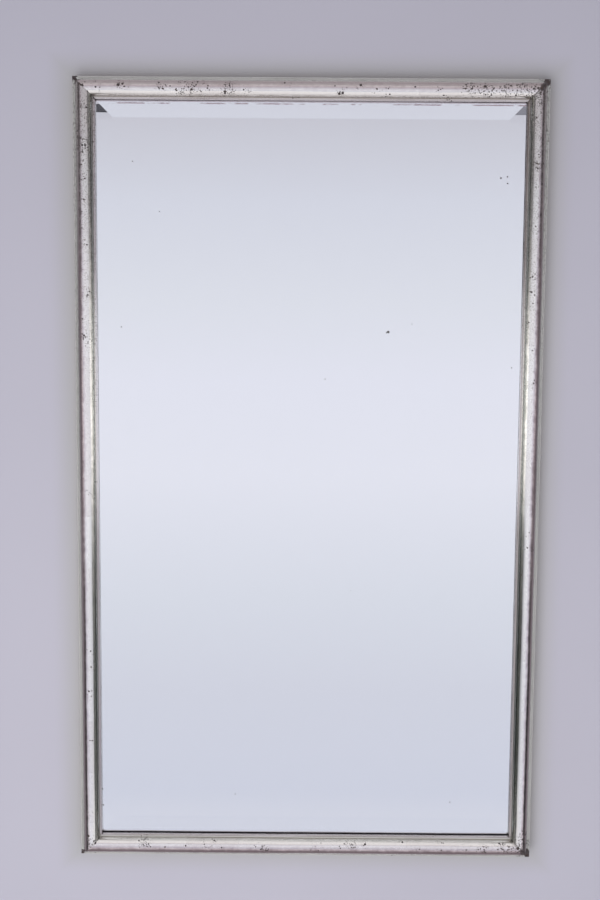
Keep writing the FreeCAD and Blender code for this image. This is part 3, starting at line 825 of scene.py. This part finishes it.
# %% Silvering, its backing paint and the slab
SPECKS_PX = [
    (388.5, 332, 3.2), (386.6, 332.6, 1.6), (159, 211, 1.2), (121, 327, 1.2), (412, 324, 1),
    (325, 379, 1.2), (351, 591, 1.1), (512, 368, 1.2), (235, 795, 1.2), (450, 803, 1.2),
    (132, 161, 1.3), (102.4, 790, 1.7), (103.2, 806, 1.5), (501.3, 177.8, 2.4), (508, 176.6, 1.8),
    (508, 183.1, 1.4),
]
PAINTED_RIM_REFLECTION, RIM_LINE_HALF = 3.9, 0.85      # a broken painted reflection of the sight's fillet under the top edge of the sight
PAINTED_EDGE_REFLECTION, EDGE_LINE_HALF = 0.9, 1.1     # a fainter painted reflection right at the edge


def on_glass(marks):
    """Places in the picture put on the plate, in millimetres."""
    rays = rays_through(marks)
    return eye_mm + rays * ((-GLASS_FRONT - eye_mm[1]) / rays[:, 1])[:, None]


def silvering_material():
    """Silver seen through glass, with a few dark specks where damp got behind it, and a painted
    reflection of the sight's fillet under the top edge.
    """
    material, tree = new_material("damp_silvering_with_painted_reflection")
    coords = object_mm(tree)
    flat = (1.0, 0.0, 1.0)
    uneven = reckon_vector("MULTIPLY", wobbled(coords, 1 / 0.6, 3.0, (1.8, 0.0, 1.8)), flat)
    spots = on_glass(SPECKS_PX) * flat
    speck = fade(nearest_edge(uneven, spots, [speck[2] / 2 for speck in SPECKS_PX]), 0.5, -0.4)
    z = axes_of(uneven)[2]
    # a painted reflection of the sight's fillet: a broken pink line under the top edge and a fainter
    # one right at it
    dash = fade(noise(coords, 26.0, 4.0), 0.45, 0.54, 0.0, 0.75, "LINEAR")
    rim = reckon("COMPARE", z, TOP - FACE - PAINTED_RIM_REFLECTION, RIM_LINE_HALF) * dash
    edge = reckon("COMPARE", z, TOP - FACE - PAINTED_EDGE_REFLECTION, EDGE_LINE_HALF) * 0.5
    silver = mix(largest(rim, edge), "#f2f3f6", "#9d7f86")
    finish_surface(tree, mix(speck, silver, "#4a4238"), blend(speck, 0.0, 0.5), blend(speck, 1.0, 0.3))
    return material


silver = silvering_material()
backing_paint = brushed_paint("red_brown_backing_paint", "#5a2e22", "#74402f", 0.65, 0.6, 1.6,
                              stretch=(0.1, 1.0, 1.0))
BEHIND_GLASS, EASE = 0.05, 0.05
silver_low, silver_high = (np.array(corner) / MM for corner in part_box("silvering"))


def silvering():
    """A slab with its front a hair behind the glass. Its outline is carried from front to back in four
    steps, drawn in a little at the two faces, so that its edges are eased."""
    front, back = silver_low[1] + BEHIND_GLASS, silver_high[1]
    middle = (silver_low + silver_high) / 2
    half = (silver_high - silver_low) / 2
    depths = np.array([front, front + EASE, back - EASE, back])
    drawn_in = np.array([EASE, 0.0, 0.0, EASE])
    signs = np.array(CORNER_SIGNS)
    rings = [
        np.stack([middle[0] + signs[:, 0] * (half[0] - inset), np.full(4, depth),
                  middle[2] + signs[:, 1] * (half[2] - inset)], -1)
        for depth, inset in zip(depths, drawn_in)]
    faces = grid_faces(4, 4, close_columns=True) + [[3, 2, 1, 0], [12, 13, 14, 15]]
    faces = [face[::-1] for face in faces]
    made = new_piece("silvering_coat", np.array(rings) * MM, faces, [silver, backing_paint],
                     zones=[0] * 4 + [1] * 8 + [0, 1])
    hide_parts("silvering")
    return made


print("silvering", silvering().name, "specks", len(SPECKS_PX))

# %% [markdown]
# Hardware and small timber
#
# Two strap hangers, their rings, two felt pads, nails, screws, keys and slips make up the rest. The
# straps, nails, screws, keys and slips keep the shapes of the frame, because those are the real ones,
# and get a finish each. The rings and the pads are built again here: bent wire has soft corners, and
# felt has a rounded, slightly swollen edge.

# %% Metal, oak, leather and felt materials
def worn_material(name, base, worn, metallic, roughness, size_mm, relief_mm, stretch=(1, 1, 1)):
    """A finish of two colours in patches: metal or not, with its own size of patch and relief."""
    material, tree = new_material(name)
    along = reckon_vector("MULTIPLY", object_mm(tree), stretch)
    share = fade(noise(along, size_mm, 5.0, 0.65), 0.4, 0.6, kind="LINEAR")
    fine = noise(along, size_mm / 5, 3.0, 0.6)
    finish_surface(tree, mix(share, base, worn), blend(share, *roughness), blend(share, *metallic),
                   fine, relief_mm, strength=0.6)
    return material


brass = worn_material("dull_brass", "#a98b4d", "#6c5630", (1.0, 0.85), (0.34, 0.52), 2.4, 0.03)
iron = worn_material("rusty_iron", "#4c4642", "#6b4027", (0.8, 0.1), (0.5, 0.85), 0.9, 0.06)
steel = worn_material("old_screw_steel", "#8b8985", "#5d564e", (1.0, 0.8), (0.36, 0.6), 1.1, 0.03)
oak = worn_material("cleft_oak", "#8f6b43", "#6e4e2e", (0.0, 0.0), (0.7, 0.8), 2.0, 0.12, (0.2, 1, 0.2))
leather = worn_material("tanned_leather", "#6d4a2f", "#4f3522", (0.0, 0.0), (0.62, 0.75), 1.6, 0.10)
felt = worn_material("green_felt", "#4b5a4a", "#3c4a3d", (0.0, 0.0), (0.97, 1.0), 0.8, 0.20)
block_pine = pine_material("block_pine", "#b39468", "#8a6b45", 0, 4.0)
block_pine_upright = pine_material("block_pine_upright", "#b39468", "#8a6b45", 2, 4.0)
BOARD_TONES = [("#b3946c", "#937450"), ("#bfa07a", "#9f7f5a"),
               ("#a88760", "#876847"), ("#b89a74", "#967857")]
board_pine = {
    "backboard_%d" % (i + 1): pine_material(
        "board_pine_%d" % (i + 1), light, dark, 0, ring_mm=8.0 + i, plank_mm=3700.0 * i)
    for i, (light, dark) in enumerate(BOARD_TONES)}

FINISHES = {
    "corner_key": oak, "corner_nails": iron, "backboard_nails": iron, "hanger_screws": steel,
    "hanger_strap": brass, "plate_slip": leather, **board_pine,
    "glue_block_top": block_pine, "glue_block_bottom": block_pine,
    "glue_block_left": block_pine_upright, "glue_block_right": block_pine_upright,
}
for node_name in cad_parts:
    starts = [start for start in FINISHES if node_name.startswith(start)]
    if starts:
        paint_node(node_name, FINISHES[max(starts, key=len)])
painted = [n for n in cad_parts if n.startswith(tuple(FINISHES))]
print("painted", len(painted), "nodes of the frame")

# %% [markdown]
# Rings of bent wire
#
# Each ring is bent from one wire into a three-cornered loop whose straight side turns in the strap's
# curl. A bevelled curve would give the same tube, but as arrays its corners keep their exact radii,
# and the straight side stays on the hinge line of the frame.

# %% Rings of bent wire
RING_HALF_WIDTH, RING_DROP, BOW_RADIUS, CORNER_RADIUS = 7.2, 9.0, 4.6, 1.9
WIRE_SEGMENTS = 24
WIRE_SHARE = 0.985       # the tube is a hair thinner than the wire of the frame


def rounded_loop(corners, radii, per_corner=14):
    """A closed path through corners, each rounded by its own radius: the arc's centre lies on the
    corner's bisector at radius / sin(half angle), and touches the sides at radius / tan(half angle)."""
    corners = np.array(corners, dtype=float)
    points = []
    neighbours = np.roll(corners, 1, 0), np.roll(corners, -1, 0)
    for corner, before, after, radius in zip(corners, *neighbours, radii):
        a = (before - corner) / np.linalg.norm(before - corner)
        b = (after - corner) / np.linalg.norm(after - corner)
        half = math.acos(float(a @ b)) / 2
        centre = corner + (a + b) / np.linalg.norm(a + b) * radius / math.sin(half)
        start, end = corner + a * radius / math.tan(half), corner + b * radius / math.tan(half)
        s, e = start - centre, end - centre
        span = math.atan2(s[0] * e[1] - s[1] * e[0], s @ e)
        turn = np.linspace(0, span, per_corner)[:, None]
        points.append(centre + s * np.cos(turn) + np.array([-s[1], s[0]]) * np.sin(turn))
    return np.concatenate(points)


def wire_ring(name, body):
    """A tube round a closed path: path point + r (cos a normal + sin a depth)."""
    low, high = (np.array(corner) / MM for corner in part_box(name))
    wire = (high[1] - low[1]) / 2
    hinge = np.array([(low[0] + high[0]) / 2, (low[1] + high[1]) / 2, high[2] - wire])
    lean = math.hypot(RING_HALF_WIDTH, RING_DROP)
    spread = math.atan2(RING_DROP, RING_HALF_WIDTH) + math.asin(BOW_RADIUS / lean)
    apex = -RING_HALF_WIDTH * math.tan(spread)
    path = rounded_loop([(-RING_HALF_WIDTH, 0), (RING_HALF_WIDTH, 0), (0, apex)],
                        [CORNER_RADIUS, CORNER_RADIUS, BOW_RADIUS])
    normal = -loop_normals(path)
    turn = np.linspace(0, 2 * math.pi, WIRE_SEGMENTS, endpoint=False)
    radius = wire * WIRE_SHARE
    x = hinge[0] + path[:, None, 0] + radius * np.cos(turn) * normal[:, None, 0]
    z = hinge[2] + path[:, None, 1] + radius * np.cos(turn) * normal[:, None, 1]
    y = hinge[1] + np.broadcast_to(radius * np.sin(turn), x.shape)
    faces = grid_faces(len(path), WIRE_SEGMENTS, close_rows=True, close_columns=True)
    made = new_piece(name + "_wire", np.stack([x, y, z], -1) * MM, faces, [brass], body=body)
    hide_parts(name)
    return made


print("rings", [wire_ring("hanger_ring_" + hand, hand + "_ring").name for hand in ("left", "right")])

# %% [markdown]
# Felt pads
#
# Two discs of felt keep the lower edge off the wall. Cut felt has a soft rim and a slightly uneven
# outline, which a turned profile with a few sines round it gives without any hair.

# %% Felt pads
PAD_SEGMENTS = 72
SOFT_RIM = 0.9           # radius of the rim
FRAY = 0.012             # half of how much narrower the outline gets, as a share of the radius


def felt_pad(name):
    """A disc with a rounded rim that swells a little: radius R - r + r (cos a) to a power below one."""
    low, high = (np.array(corner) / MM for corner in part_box(name))
    middle, radius, thick = (low + high) / 2, (high[0] - low[0]) / 2, high[1] - low[1]
    rim = np.radians(np.linspace(-90, 90, 15))
    bulge = np.sign(np.cos(rim)) * np.abs(np.cos(rim)) ** 0.8
    inner = np.array([0.0005, 0.35, 0.7])
    flat = inner * (radius - SOFT_RIM)
    radii = np.concatenate([flat, radius - SOFT_RIM + SOFT_RIM * bulge, flat[::-1]])
    depth = np.concatenate([np.full(3, -thick / 2),
                            -thick / 2 + SOFT_RIM + SOFT_RIM * np.sin(rim[:8]),
                            thick / 2 - SOFT_RIM + SOFT_RIM * np.sin(rim[8:]), np.full(3, thick / 2)])
    turn = np.linspace(0, 2 * math.pi, PAD_SEGMENTS, endpoint=False)
    near_rim = radii[:, None] > radius * 0.8
    frayed = 1 - FRAY * (1 + np.sin(turn * 17 + 3 * np.sin(turn * 5))) * near_rim
    x = middle[0] + radii[:, None] * frayed * np.cos(turn)
    z = middle[2] + radii[:, None] * frayed * np.sin(turn)
    y = np.broadcast_to((middle[1] + depth)[:, None], x.shape)
    around = list(range(PAD_SEGMENTS))
    last = [(len(radii) - 1) * PAD_SEGMENTS + i for i in around]
    faces = grid_faces(len(radii), PAD_SEGMENTS, close_columns=True) + [around[::-1], last]
    made = new_piece(name + "_felt", np.stack([x, y, z], -1) * MM, faces, [felt])
    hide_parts(name)
    return made


print("pads", [felt_pad("wall_pad_" + hand).name for hand in ("left", "right")])

# %% [markdown]
# Studio
#
# The mirror hangs on a plain wall, with a little painted shade close round the frame. The wall and
# floor are stage, not part of the object. The wall is seen only from its front, so that the back of the
# mirror can be looked at too.

# %% Wall and floor
WALL_BEHIND = cad_box[1].y / MM + 0.1
FLOOR_BELOW = 1250.0
# how far from the frame the wall's painted shade reaches, in millimetres
PAINTED_SHADE_WIDTH = 45.0
WALL_HALF, WALL_TOP, FLOOR_HALF = 4.0, 3.0, 20.0     # in metres
UNEVEN = 0.015           # the paint's tone varies by this share


def stage_material(name, colour, shade_round_frame=None):
    """Matt paint that shows from its front only. A wall can get painted shade round the mirror's
    outline.
    """
    material, tree = new_material(name)
    coords = object_mm(tree)
    tint = linear(colour)[:3]
    if shade_round_frame:
        # painted shade round the frame: the shade colour at the frame's outline, fading to the wall's
        # own within a width
        x, _, z = axes_of(coords)
        away = largest(abs(x) - HALF_WIDTH, abs(z - MIDDLE) - HALF_HEIGHT)
        tint = mix(fade(away, PAINTED_SHADE_WIDTH, 0.0), colour, shade_round_frame)
    shade = fade(noise(coords, 400.0), 0.3, 0.7, 1 - UNEVEN, 1 + UNEVEN, "LINEAR")
    paint = node(tree, "BsdfDiffuse", {"Color": scaled(tint, shade)})
    clear = node(tree, "BsdfTransparent")
    behind = node(tree, "NewGeometry").outputs["Backfacing"]
    finish_material(tree, node(tree, "MixShader", {0: behind, 1: paint, 2: clear}))
    return material


def stage_plane(name, corners, material):
    """A flat backdrop from four corners in metres."""
    made = new_piece(name, corners, [[0, 1, 2, 3]], [material], body=None)
    return made


def hide_from(piece, *rays):
    """Keeps some kinds of ray from meeting a piece of the stage."""
    for ray in rays:
        setattr(piece, "visible_" + ray, False)


wall_y = WALL_BEHIND * MM
floor_z = (BOTTOM - FLOOR_BELOW) * MM
wall = stage_plane("wall", [(-WALL_HALF, wall_y, floor_z), (WALL_HALF, wall_y, floor_z),
                            (WALL_HALF, wall_y, WALL_TOP), (-WALL_HALF, wall_y, WALL_TOP)],
                   stage_material("lavender_grey_wall", "#bcbac4", "#b1b0b1"))
floor = stage_plane("floor", [(x * FLOOR_HALF, y * FLOOR_HALF, floor_z) for x, y in CORNER_SIGNS],
                    stage_material("pale_floor", "#efeef2"))
hide_from(wall, "diffuse", "glossy", "transmission", "shadow")
hide_from(floor, "glossy", "transmission")
print("wall at", round(wall_y, 4), "floor at", round(floor_z, 3))

# %% [markdown]
# What the mirror sees
#
# A mirror has no colour of its own: it shows the room. A real room would bring in objects that aren't
# part of this lesson, so three glowing cards take its place, one in front and one at each side. The
# front card's colours by height become the soft gradient in the glass, and the bright stretch of the
# side cards becomes the double glint on the inner flanks of the uprights.

# %% Cards that the leaf and the glass reflect
CARD_HALF, CARD_AWAY, CARD_NEAR = 3.0, 2.1, 0.1      # in metres
CARD_FOOT, CARD_TOP = -3.4, 2.4


def glow_material(name, steps, gaps=(), strength=1.0):
    """Glow by height, from a list of heights and colours. A gap is (edge, side, low, high, colour): it
    shows between two heights, where x times the side is past the edge."""
    material, tree = new_material(name)
    x, _, z = axes_of(object_place(tree))
    glow = ramp(fade(z, CARD_FOOT, CARD_TOP, kind="LINEAR"),
                *[((height - CARD_FOOT) / (CARD_TOP - CARD_FOOT), colour) for height, colour in steps])
    for edge, side, low, high, colour in gaps:
        level = reckon("COMPARE", z, (low + high) / 2, (high - low) / 2)
        glow = mix(level * reckon("GREATER_THAN", x * side, edge), glow, colour)
    finish_material(tree, node(tree, "Emission", {"Color": glow, "Strength": strength}))
    return material


CARD_GLOW = [(-3.40, "#ffffff"), (-2.30, "#f1f0f4"), (-1.84, "#d8dbe8"), (-1.50, "#dbdde8"),
             (-1.20, "#e2e5ee"), (-0.80, "#eeeff8"), (-0.50, "#edeef8"), (-0.25, "#e7e9f1"),
             (0.06, "#dee0ea"), (0.28, "#d3d3dc"), (0.335, "#cfced7"), (0.53, "#dad3da"),
             (1.10, "#dcd6db"), (1.50, "#f4f2f3"), (2.40, "#ffffff")]
CARD_GAPS = [(0.4, -1.0, 0.323, 0.348, "#3f3e44"), (0.4, 1.0, 0.323, 0.349, "#86858e")]

card = stage_plane("card", [(-CARD_HALF, -CARD_AWAY, CARD_FOOT), (-CARD_HALF, -CARD_AWAY, CARD_TOP),
                            (CARD_HALF, -CARD_AWAY, CARD_TOP), (CARD_HALF, -CARD_AWAY, CARD_FOOT)],
                   glow_material("reflected_card", CARD_GLOW, CARD_GAPS))
side_glow = glow_material("side_of_the_room", [
    (-3.40, "#404242"), (-2.20, "#393e3c"), (-1.50, "#484b4a"), (-1.28, "#787879"), (-1.06, "#b6b5b6"),
    (-0.85, "#fbfafa"), (-0.50, "#fbfafa"), (-0.30, "#d2d1d2"), (-0.10, "#7f7d80"), (0.12, "#504e51"),
    (2.40, "#4c4a4d")], strength=1.58)
sides = [stage_plane("side_of_room", [(x, -CARD_AWAY, CARD_FOOT), (x, -CARD_NEAR, CARD_FOOT),
                                      (x, -CARD_NEAR, CARD_TOP), (x, -CARD_AWAY, CARD_TOP)], side_glow)
         for x in (-CARD_HALF, CARD_HALF)]
for plane in [card] + sides:
    hide_from(plane, "camera", "diffuse", "shadow")
print("cards", 1 + len(sides))

# %% [markdown]
# Lamps and world
#
# One large lamp in front, low and a little to the left, gives the wall its slow gradient and the frame
# a soft edge of shadow. A second one behind lights the back for the other views. The world fills in
# evenly, and shows paler in the leaf and the glass than it does to the camera.

# %% Lamps and world
def soft_lamp(name, place, target, size, watts, spread_degrees=180.0):
    """A square area lamp that lights matt surfaces and doesn't show in the glass or the leaf."""
    data = bpy.data.lights.new(name, "AREA")
    data.size, data.energy, data.spread = size, watts, math.radians(spread_degrees)
    lamp = bpy.data.objects.new(name, data)
    lamp.location = place
    lamp.rotation_euler = (Vector(target) - Vector(place)).to_track_quat("-Z", "Y").to_euler()
    lamp.visible_glossy = lamp.visible_transmission = lamp.visible_camera = False
    bpy.context.scene.collection.objects.link(lamp)
    return lamp


middle_z = MIDDLE * MM
lamps = [
    soft_lamp("key", (-0.40, -2.2, middle_z - 0.50), target=(0, 0, middle_z - 0.1), size=1.8,
              watts=17.5, spread_degrees=110.0),
    soft_lamp("rear", (1.5, 3.4, middle_z + 1.8), target=(0, 0, middle_z), size=3.0, watts=90.0),
]

world = bpy.data.worlds.new("studio")
bpy.context.scene.world = world
world.use_nodes = True
world_tree = world.node_tree
world_tree.nodes.clear()
path = node(world_tree, "LightPath")
seen = node(world_tree, "Math", {
    0: path.outputs["Is Glossy Ray"], 1: path.outputs["Is Transmission Ray"]}, operation="MAXIMUM")
fill, shown, mirrored = (
    node(world_tree, "Background", {"Color": colour, "Strength": strength})
    for colour, strength in (("#e4e3ee", 0.50), ("#c3c1c9", 1.0), ("#eeecf0", 1.0)))
soft = node(world_tree, "MixShader", {0: seen, 1: fill, 2: mirrored})
lit = node(world_tree, "MixShader", {0: path.outputs["Is Camera Ray"], 1: soft, 2: shown})
node(world_tree, "OutputWorld", {"Surface": lit})
bpy.context.scene.view_settings.view_transform = "Standard"
print("lamps", len(lamps), "view transform", bpy.context.scene.view_settings.view_transform)
